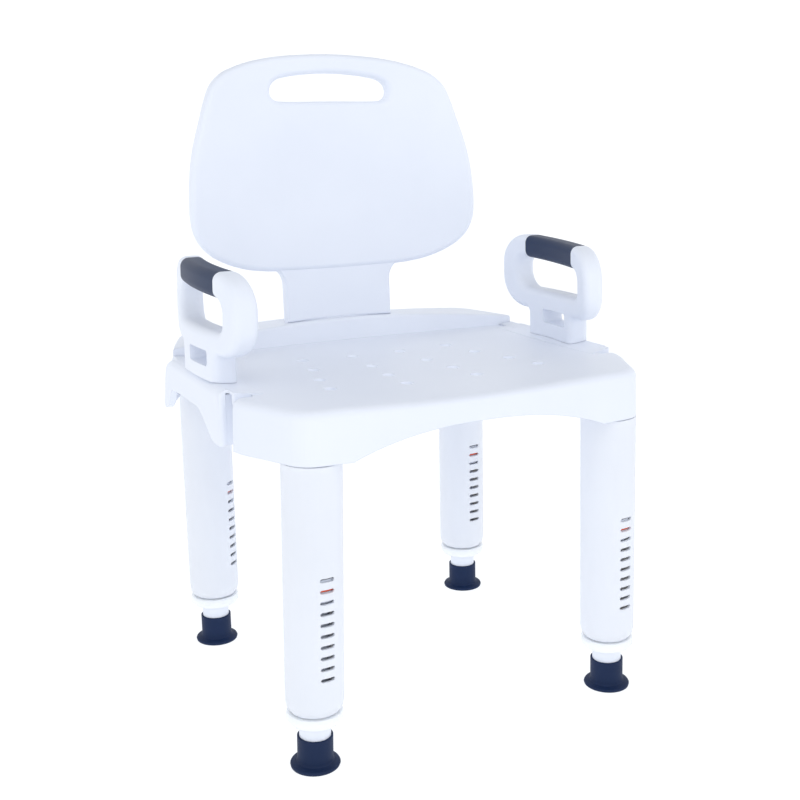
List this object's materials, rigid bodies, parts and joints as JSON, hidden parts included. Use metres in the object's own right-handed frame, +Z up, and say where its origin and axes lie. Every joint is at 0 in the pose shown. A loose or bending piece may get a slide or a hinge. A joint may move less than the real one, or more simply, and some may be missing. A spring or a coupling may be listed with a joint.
{
  "type": "shower chair",
  "caption": "Moulded shower chair with a perforated seat, a curved backrest with a carrying handle, gripped loop armrests and telescopic legs on flared rubber feet.",
  "frame": {"origin": "on the floor, under the centre of the chair's bounding box", "axes": "+X towards the sitter's left armrest, +Y from the front of the seat to the backrest, +Z up"},
  "size_m": [0.522, 0.4404, 0.79],
  "materials": {
    "white_plastic": "fine satin moulded texture, cool white",
    "collar_plastic": "translucent milky white, smooth",
    "foot_rubber": "satin navy rubber",
    "grip_rubber": "satin navy soft-touch rubber",
    "indicator_red": "red-orange plastic band",
    "pin_plastic": "grey moulded plastic",
    "screw_steel": "plain stainless steel"
  },
  "bodies": {
    "chair_frame": {"seat": "white_plastic", "leg_tube_front_left": "white_plastic", "leg_tube_front_right": "white_plastic", "leg_tube_rear_left": "white_plastic", "leg_tube_rear_right": "white_plastic", "leg_pin_front_left": "pin_plastic", "leg_pin_front_right": "pin_plastic", "leg_pin_rear_left": "pin_plastic", "leg_pin_rear_right": "pin_plastic", "arm_bracket_left": "white_plastic", "arm_bracket_right": "white_plastic", "bracket_screw_front_left": "screw_steel", "bracket_screw_rear_left": "screw_steel", "bracket_screw_front_right": "screw_steel", "bracket_screw_rear_right": "screw_steel"},
    "backrest": {"backrest": "white_plastic"},
    "armrest_left": {"armrest_left": "white_plastic", "arm_grip_left": "grip_rubber"},
    "armrest_right": {"armrest_right": "white_plastic", "arm_grip_right": "grip_rubber"},
    "sliding_leg_front_left": {"leg_extension_front_left": "white_plastic", "height_indicator_front_left": "indicator_red", "foot_tip_front_left": "foot_rubber"},
    "lock_collar_front_left": {"lock_collar_front_left": "collar_plastic"},
    "sliding_leg_front_right": {"leg_extension_front_right": "white_plastic", "height_indicator_front_right": "indicator_red", "foot_tip_front_right": "foot_rubber"},
    "lock_collar_front_right": {"lock_collar_front_right": "collar_plastic"},
    "sliding_leg_rear_left": {"leg_extension_rear_left": "white_plastic", "height_indicator_rear_left": "indicator_red", "foot_tip_rear_left": "foot_rubber"},
    "lock_collar_rear_left": {"lock_collar_rear_left": "collar_plastic"},
    "sliding_leg_rear_right": {"leg_extension_rear_right": "white_plastic", "height_indicator_rear_right": "indicator_red", "foot_tip_rear_right": "foot_rubber"},
    "lock_collar_rear_right": {"lock_collar_rear_right": "collar_plastic"}
  },
  "joints": [
    {"name": "backrest_lift", "type": "slide", "parent": "chair_frame", "child": "backrest", "axis": [0, 0, 1], "range_m": [0, 0.08]},
    {"name": "armrest_lift_left", "type": "slide", "parent": "chair_frame", "child": "armrest_left", "axis": [0, 0, 1], "range_m": [0, 0.06]},
    {"name": "armrest_lift_right", "type": "slide", "parent": "chair_frame", "child": "armrest_right", "axis": [0, 0, 1], "range_m": [0, 0.06]},
    {"name": "leg_height_front_left", "type": "slide", "parent": "chair_frame", "child": "sliding_leg_front_left", "axis": [0.0234, -0.0039, -0.9997], "range_m": [-0.0127, 0.1016]},
    {"name": "collar_turn_front_left", "type": "hinge", "parent": "chair_frame", "child": "lock_collar_front_left", "pos_m": [0.2006, -0.1834, 0], "axis": [-0.0234, 0.0039, 0.9997], "range_deg": [0, 60]},
    {"name": "leg_height_front_right", "type": "slide", "parent": "chair_frame", "child": "sliding_leg_front_right", "axis": [-0.0234, -0.0039, -0.9997], "range_m": [-0.0127, 0.1016]},
    {"name": "collar_turn_front_right", "type": "hinge", "parent": "chair_frame", "child": "lock_collar_front_right", "pos_m": [-0.2006, -0.1834, 0], "axis": [0.0234, 0.0039, 0.9997], "range_deg": [0, 60]},
    {"name": "leg_height_rear_left", "type": "slide", "parent": "chair_frame", "child": "sliding_leg_rear_left", "axis": [0.0056, -0.0073, -1], "range_m": [-0.0127, 0.1016]},
    {"name": "collar_turn_rear_left", "type": "hinge", "parent": "chair_frame", "child": "lock_collar_rear_left", "pos_m": [0.1985, 0.1834, 0], "axis": [-0.0056, 0.0073, 1], "range_deg": [0, 60]},
    {"name": "leg_height_rear_right", "type": "slide", "parent": "chair_frame", "child": "sliding_leg_rear_right", "axis": [-0.0056, -0.0073, -1], "range_m": [-0.0127, 0.1016]},
    {"name": "collar_turn_rear_right", "type": "hinge", "parent": "chair_frame", "child": "lock_collar_rear_right", "pos_m": [-0.1985, 0.1834, 0], "axis": [0.0056, 0.0073, 1], "range_deg": [0, 60]}
  ]
}
